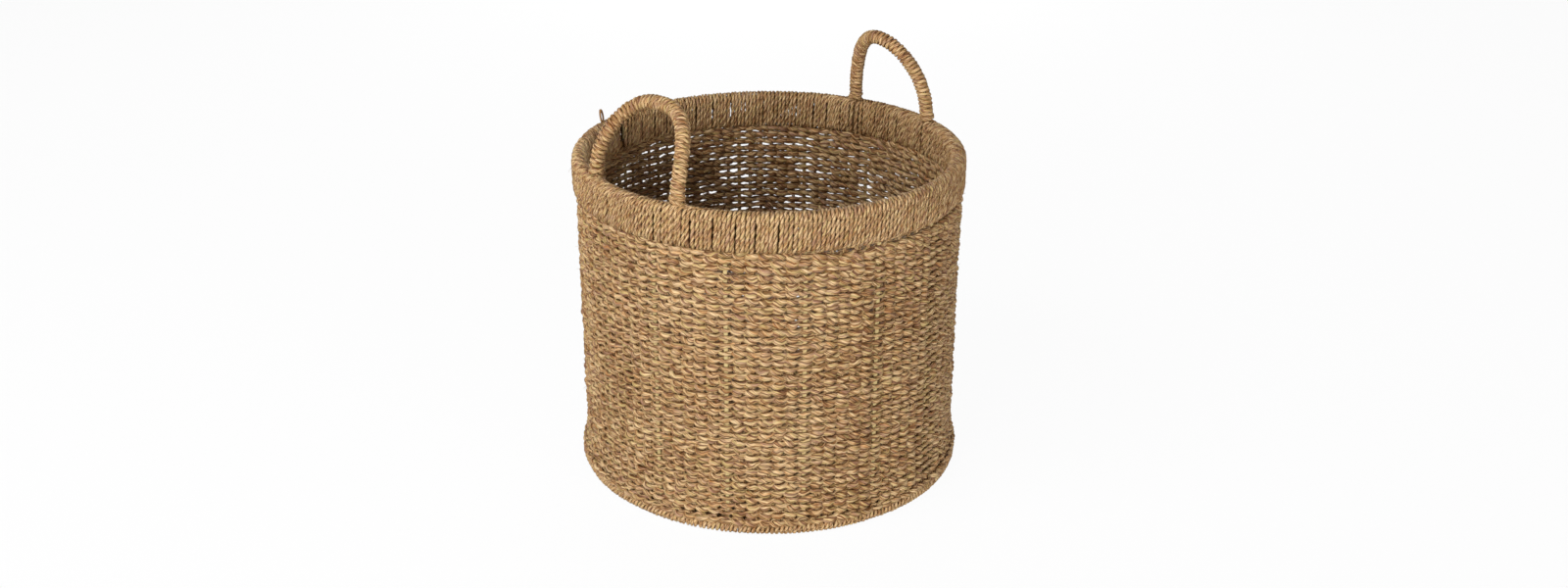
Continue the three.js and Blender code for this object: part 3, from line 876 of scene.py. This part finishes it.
def cane(name, colour, shade):
    """Split cane: a smooth pale skin with fine lengthwise lines and a few stains."""
    material, board = new_material(f"cane_{name}")
    x, y, z = board.add("ShaderNodeTexCoord", out="Object").parts()

    def noise(across, upwards, detail):
        """Noise that changes so many times in a metre across the cane and up."""
        place = board.vector(x * across, y * across, z * upwards)
        return board.add("ShaderNodeTexNoise", Vector=place, Scale=1.0, Detail=detail)

    lines = noise(1500, 45, detail=2.0)
    stains = noise(60, 38, detail=3.0)
    worn = board.eased(stains, 0.5, 0.72, to_high=0.55) + board.eased(lines, 0.45, 0.25, to_high=0.35)
    colour = board.mixed(worn, (*colour, 1), (*shade, 1))
    bump = board.add("ShaderNodeBump", Height=lines, Strength=0.3, Distance=0.0003)
    return finished(material, board, colour, bump, roughness=0.4 + stains * 0.3, ior=1.5)


def finished(material, board, colour, bump, roughness, ior):
    """Ends a material in one plain surface."""
    surface = board.add(
        "ShaderNodeBsdfPrincipled", Base_Color=colour, Roughness=roughness, Normal=bump, IOR=ior
    )
    board.add("ShaderNodeOutputMaterial", Surface=surface)
    return material


class BASKET_OT_weave_wall(bpy.types.Operator):
    """Twines the wall round the stakes"""

    bl_idname = "basket.weave_wall"
    bl_label = "Weave wall"

    def execute(self, context):
        weave, windings = context.scene.basket_weave, context.scene.basket_windings
        rule = twined_rows_rule()
        # The wall's copy has the darkest level, which is painted shade, and strong painted groove and crease
        # shade.
        finish = seagrass("wall", light=0.93, warmth=0.01, groove_shade_depth=0.95, crease_shade_depth=0.7)
        sunk_share = 0.4
        lowest = windings.foot_height + weave.cord_radius * (1 - sunk_share)
        for first in range(0, weave.rows, weave.rows_a_piece):
            grown(
                f"wall_weave_{first // weave.rows_a_piece + 1}", rule, "wall_seagrass", [weave],
                ["woven_wall"], rows=min(weave.rows_a_piece, weave.rows - first), first_row=first,
                last_row=weave.rows - 1, stakes=stake_count, steps=weave.warps * weave.warp_steps,
                radius=wall_high.x - weave.stake_depth, radius_step=0.0, height=lowest,
                height_step=(wall_high.z - lowest) / (weave.rows - 1), flatness=0.0, material=finish,
            )
        return {"FINISHED"}


class BASKET_OT_set_warps(bpy.types.Operator):
    """Sets the doubled fine warps between the stakes"""

    bl_idname = "basket.set_warps"
    bl_label = "Set fine warps"

    def execute(self, context):
        weave = context.scene.basket_weave
        grown(
            "fine_warps", upright_warps_rule(), "wall_seagrass", [weave], stakes=stake_count, steps=60,
            start_radius=weave.inner_base_radius, late_start_radius=weave.outer_base_radius,
            wall_radius=wall_high.x - weave.stake_depth, base_height=(base_low.z + base_high.z) / 2,
            top=hoop_low.z, bend_radius=0.008, cord_radius=weave.warp_radius,
            material=seagrass("warps", light=1.08),
        )
        return {"FINISHED"}


class BASKET_OT_weave_base(bpy.types.Operator):
    """Twines the base in rings round its coiled middle"""

    bl_idname = "basket.weave_base"
    bl_label = "Weave base"

    def execute(self, context):
        weave = context.scene.basket_weave
        rule = twined_rows_rule()
        plain = ("pinch", "droop", "unevenness", "looseness", "loosest", "tightening", "flare", "gap",
                 "gap_bearing", "height_step")
        shared = dict.fromkeys(plain, 0.0) | {
            # The base's copy has a darker level, which is painted shade.
            "sides": 7, "height": (base_low.z + base_high.z) / 2, "material": seagrass("base", light=0.94),
        }
        # A ring takes one more row where no more than this share of a row's pitch is missing.
        missing_share = 0.35
        # How thick the hub's cord is beside the wall's.
        hub_cord = 1.1
        # Each ring: its name, its inner and outer radius, its warps and the steps from warp to warp.
        rings = (
            ("inner", weave.hub_radius, weave.inner_base_radius, stake_count, 14),
            ("middle", weave.inner_base_radius, weave.outer_base_radius, weave.warps // 2, 8),
            ("outer", weave.outer_base_radius, base_high.x, weave.warps, 6),
        )
        for name, low, high, warps, steps in rings:
            first, last = (
                int((edge - weave.hub_radius) / weave.base_pitch + missing_share) for edge in (low, high)
            )
            grown(
                f"base_weave_{name}", rule, "base_seagrass", [weave], ["woven_base"], **shared,
                rows=last - first, first_row=0, last_row=1, warps=warps, stakes=stake_count,
                steps=warps * steps, radius=weave.hub_radius + weave.base_pitch * (first + 0.5),
                radius_step=weave.base_pitch, flatness=1.0, swing=weave.swing * weave.base_swing,
                cord_radius=weave.cord_radius * weave.base_cord,
                waviness=weave.waviness * weave.base_waviness,
                first_warp=weave.first_warp + FULL_TURN * (1 / weave.warps - 1 / warps),
            )
        grown(
            "base_hub", hub_rule(), "base_seagrass", [weave], ["woven_base"], "hub", **shared,
            turn_steps=40, radius=weave.hub_radius - weave.cord_radius,
            layer_gap=base_high.z - base_low.z - weave.cord_radius * 2,
            cord_radius=weave.cord_radius * hub_cord,
        )
        return {"FINISHED"}


def leg_bearings(handles):
    """Where the four legs stand: right, then left."""
    sides = (
        (handles.right_bearing, handles.right_half_width), (handles.left_bearing, handles.left_half_width),
    )
    return [
        bearing + side * math.asin(half_width / handles.leg_radius)
        for bearing, half_width in sides for side in (-1, 1)
    ]


class BASKET_OT_wind_rim(bpy.types.Operator):
    """Winds the cord over the hoops of the rim"""

    bl_idname = "basket.wind_rim"
    bl_label = "Wind rim"

    def execute(self, context):
        windings, handles = context.scene.basket_windings, context.scene.basket_handles
        groups = [windings, handles]
        rule = winding_rule()
        half = windings.rim_turns // 2
        shared = {
            "prefix": "rim", "turn_steps": 40, "sides": 9, "bottom": band_low.z,
            # The rim's copy: its level is painted light and shade, with strong painted groove shade and light
            # painted crease shade.
            "material": seagrass("rim", light=0.97, warmth=0.01, groove_shade_depth=0.95, crease_shade_depth=0.4),
        }
        inner = band_high.x - windings.rim_width
        for part, first in enumerate((0, half)):
            grown(
                f"rim_winding_{part + 1}", rule, "rim_seagrass", groups, ["rim_band_wrap"], **shared,
                turns=half, first_turn=first, whole_turns=windings.rim_turns, top=band_high.z,
                inner_radius=inner, outer_radius=band_high.x,
            )
        whole = FULL_TURN * handles.leg_radius / windings.binding_pitch
        loose = windings.loose_bearing - windings.loose_parting / handles.leg_radius
        stand = windings.binding_stand
        # How much of the rim's swelling the bindings have.
        swelling_share = 0.7
        names = [f"leg_binding_{number}" for number in (1, 2, 3, 4)] + ["loose_turns"]
        for name, bearing in zip(names, leg_bearings(handles) + [loose]):
            grown(
                name, rule, "rim_seagrass", groups, **shared, turns=windings.binding_turns,
                first_turn=bearing / FULL_TURN * whole - windings.binding_turns / 2, whole_turns=whole,
                inner_radius=inner - stand, outer_radius=band_high.x - stand, top=band_high.z + stand / 2,
                slit=0.0, parting=0.0, loose_parting=0.0,
                swelling=windings.swelling * swelling_share,
            )
        return {"FINISHED"}


class BASKET_OT_wind_foot(bpy.types.Operator):
    """Winds the cord round the hoop of the foot"""

    bl_idname = "basket.wind_foot"
    bl_label = "Wind foot"

    def execute(self, context):
        windings = context.scene.basket_windings
        # How much the foot's turns crowd and part beside the rim's.
        crowding_share, slit_share = 0.8, 0.4
        grown(
            "foot_winding", winding_rule(), "foot_seagrass", [windings, context.scene.basket_handles],
            ["foot_ring_wrap"], "foot", first_turn=0, whole_turns=windings.foot_turns, turn_steps=22, sides=9,
            inner_radius=foot_high.x - windings.foot_width, outer_radius=foot_high.x, bottom=foot_low.z,
            top=foot_low.z + windings.foot_height, bottom_round=windings.foot_round,
            top_round=windings.foot_round, crowding=windings.crowding * crowding_share,
            slit=windings.slit * slit_share, swelling=0.0, parting=0.0, loose_parting=0.0,
            # The foot's copy is lighter, which is painted light, and its groove shade is painted shade.
            material=seagrass("foot", light=1.04, groove_shade_depth=0.75),
        )
        return {"FINISHED"}


class BASKET_OT_wind_handles(bpy.types.Operator):
    """Winds both handles and lashes their legs to the rim"""

    bl_idname = "basket.wind_handles"
    bl_label = "Wind handles"

    def execute(self, context):
        handles, windings = context.scene.basket_handles, context.scene.basket_windings
        rule = handle_winding_rule()
        # The handles' copy: its level and its groove and crease shade are painted light and shade.
        finish = seagrass("handles", light=0.98, warmth=0.02, groove_shade_depth=0.8, crease_shade_depth=0.6)
        for side in ("left", "right"):
            grown(
                f"handle_{side}_winding", rule, "handle_seagrass", [handles], [f"handle_{side}_wrap"], side,
                turn_steps=22, sides=10, rim_top=band_high.z, material=finish,
            )
        # As shares of the lashings' own cord, of the handle's cord and of the lay of the rim's cord.
        slant_share, outward_share, lay_share = 1.6, 0.7, 0.6
        grown(
            "handle_lashings", lashing_rule(), "handle_seagrass", [handles], steps=32, sides=10, loops=2,
            rim_top=band_high.z + handles.lashing_radius, slant=handles.lashing_radius * slant_share,
            loop_radius=handles.winding_radius + handles.cord_radius * outward_share,
            cord_radius=handles.lashing_radius, lay=windings.lay * lay_share, material=finish,
        )
        return {"FINISHED"}


class BASKET_OT_fray(bpy.types.Operator):
    """Adds the stray fibres and the small loop of twine"""

    bl_idname = "basket.fray"
    bl_label = "Add stray fibres"

    def execute(self, context):
        bottom_margin, top_margin, wall_depth, rim_depth = 0.006, 0.004, 0.0012, 0.001
        grown(
            "stray_fibres", fibres_rule(), "wall_seagrass", [], fibres=520, steps=5, seed=4,
            low=foot_low.z + bottom_margin, high=band_high.z - top_margin, radius=wall_high.x - wall_depth,
            rim_bottom=band_low.z, rim_radius=band_high.x - rim_depth, length=0.009, thickness=0.00022,
            material=seagrass("fibres", light=1.1),
        )
        loop_inset, loop_depth = 0.006, 0.003
        grown(
            "twine_loop", loop_rule(), "rim_seagrass", [], steps=36, sides=8,
            radius=band_high.x - loop_inset, bearing=math.radians(111.2), bottom=band_high.z - loop_depth,
            height=0.0135, width=0.005, cord_radius=0.0012, lay=0.004,
            material=seagrass("twine", light=0.55, warmth=0.22),
        )
        return {"FINISHED"}


class BASKET_OT_finish_canes(bpy.types.Operator):
    """Gives the stakes, the hoops and the handle cores their finish"""

    bl_idname = "basket.finish_canes"
    bl_label = "Finish canes"

    def execute(self, context):
        colours = context.scene.basket_colours
        stake_finish = cane("stakes", colours.cane, colours.straw)
        hoop_finish = cane("hoops", colours.hoop, colours.shade)
        for name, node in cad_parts.items():
            if not node.hide_render:
                node.data.materials.clear()
                node.data.materials.append(stake_finish if name.startswith("stake_") else hoop_finish)
        return {"FINISHED"}


def floor_finish(level, fade_start, fade_end):
    """A pale floor that fades into the backdrop away from the basket."""
    material, board = new_material("floor_paper")
    distance = board.add("ShaderNodeTexCoord", out="Object").worked("LENGTH")
    clear = board.eased(distance, fade_start, fade_end)
    paper = board.add("ShaderNodeBsdfDiffuse", Color=(level, level, level, 1))
    nothing = board.add("ShaderNodeBsdfTransparent")
    surface = board.add("ShaderNodeMixShader", clear, paper, nothing)
    board.add("ShaderNodeOutputMaterial", Surface=surface)
    return material


def backdrop(level):
    """A world that is white to the camera and dimmer as a light."""
    world = bpy.data.worlds.new("backdrop")
    world.use_nodes = True
    world.node_tree.nodes.clear()
    board = Board(world.node_tree)
    path = board.add("ShaderNodeLightPath", out="Is Camera Ray")
    seen = path.larger(path.output("Is Glossy Ray")).larger(path.output("Is Transmission Ray"))
    strength = board.chosen(seen, level, 1.0)
    light = board.add("ShaderNodeBackground", Color=(1, 1, 1, 1), Strength=strength)
    board.add("ShaderNodeOutputWorld", Surface=light)
    return world


def lamp(name, place, target, size, power):
    """A square lamp that faces a point."""
    light = bpy.data.lights.new(name, "AREA")
    light.size = size
    light.energy = power
    holder = bpy.data.objects.new(name, light)
    bpy.context.scene.collection.objects.link(holder)
    holder.location = place
    holder.rotation_euler = (target - holder.location).to_track_quat("-Z", "Y").to_euler()


# Each lamp: its name, its place and its size.
LAMPS = (
    ("key", (-2.4, -0.9, 0.55), 1.0),
    ("fill", (-0.1, -2.5, 0.45), 0.8),
    ("top", (-1.9, 0.4, 2.1), 1.3),
    ("back", (1.7, 1.7, 0.9), 1.3),
)
FLOOR_SIZE, FADE_START, FADE_END = 6.0, 0.35, 1.1
CAMERA_PLACE = (-1.0902, -1.1288, 0.8579)
CAMERA_DOWN, CAMERA_TURN, CAMERA_SHIFT = 0.412, math.radians(-44), 0.0097


class BASKET_OT_stage(bpy.types.Operator):
    """Sets the floor, the light and the camera"""

    bl_idname = "basket.stage"
    bl_label = "Set stage"

    def execute(self, context):
        stage = context.scene.basket_stage
        mesh = bpy.data.meshes.new("floor")
        half = FLOOR_SIZE / 2
        corners = [(-half, -half, 0), (half, -half, 0), (half, half, 0), (-half, half, 0)]
        mesh.from_pydata(corners, [], [(0, 1, 2, 3)])
        floor = bpy.data.objects.new("floor", mesh)
        context.scene.collection.objects.link(floor)
        mesh.materials.append(floor_finish(stage.floor, FADE_START, FADE_END))
        context.scene.world = backdrop(stage.sky)
        for name, place, size in LAMPS:
            lamp(name, place, (cad_low + cad_high) / 2, size, getattr(stage, f"{name}_power"))
        camera = bpy.data.cameras.new("camera")
        camera.lens = stage.lens
        camera.shift_x = CAMERA_SHIFT
        holder = bpy.data.objects.new("camera", camera)
        context.scene.collection.objects.link(holder)
        holder.location = CAMERA_PLACE
        holder.rotation_euler = (math.pi / 2 - CAMERA_DOWN, 0.0, CAMERA_TURN)
        context.scene.camera = holder
        context.scene.view_settings.view_transform = "Standard"
        return {"FINISHED"}


PIECES = (
    BASKET_OT_weave_wall, BASKET_OT_set_warps, BASKET_OT_weave_base, BASKET_OT_wind_rim,
    BASKET_OT_wind_foot, BASKET_OT_wind_handles, BASKET_OT_fray, BASKET_OT_finish_canes, BASKET_OT_stage,
)
SETTINGS = {
    "basket_weave": BasketWeave,
    "basket_windings": BasketWindings,
    "basket_handles": BasketHandles,
    "basket_colours": BasketColours,
    "basket_stage": BasketStage,
}


class BASKET_PT_panel(bpy.types.Panel):
    """Lists the steps that dress the basket"""

    bl_idname = "BASKET_PT_panel"
    bl_label = "Woven basket"
    bl_space_type = "VIEW_3D"
    bl_region_type = "UI"
    bl_category = "Basket"

    def draw(self, context):
        for piece in PIECES:
            self.layout.operator(piece.bl_idname)
        for name, group in SETTINGS.items():
            box = self.layout.box()
            for label in group.__annotations__:
                box.prop(getattr(context.scene, name), label)


def register():
    for name, group in SETTINGS.items():
        bpy.utils.register_class(group)
        setattr(bpy.types.Scene, name, PointerProperty(type=group))
    for kind in (*PIECES, BASKET_PT_panel):
        bpy.utils.register_class(kind)


def unregister():
    for kind in reversed((*PIECES, BASKET_PT_panel)):
        bpy.utils.unregister_class(kind)
    for name, group in SETTINGS.items():
        delattr(bpy.types.Scene, name)
        bpy.utils.unregister_class(group)


def main():
    register()
    for piece in PIECES:
        family, step = piece.bl_idname.split(".")
        getattr(getattr(bpy.ops, family), step)()


if __name__ == "__main__":
    main()
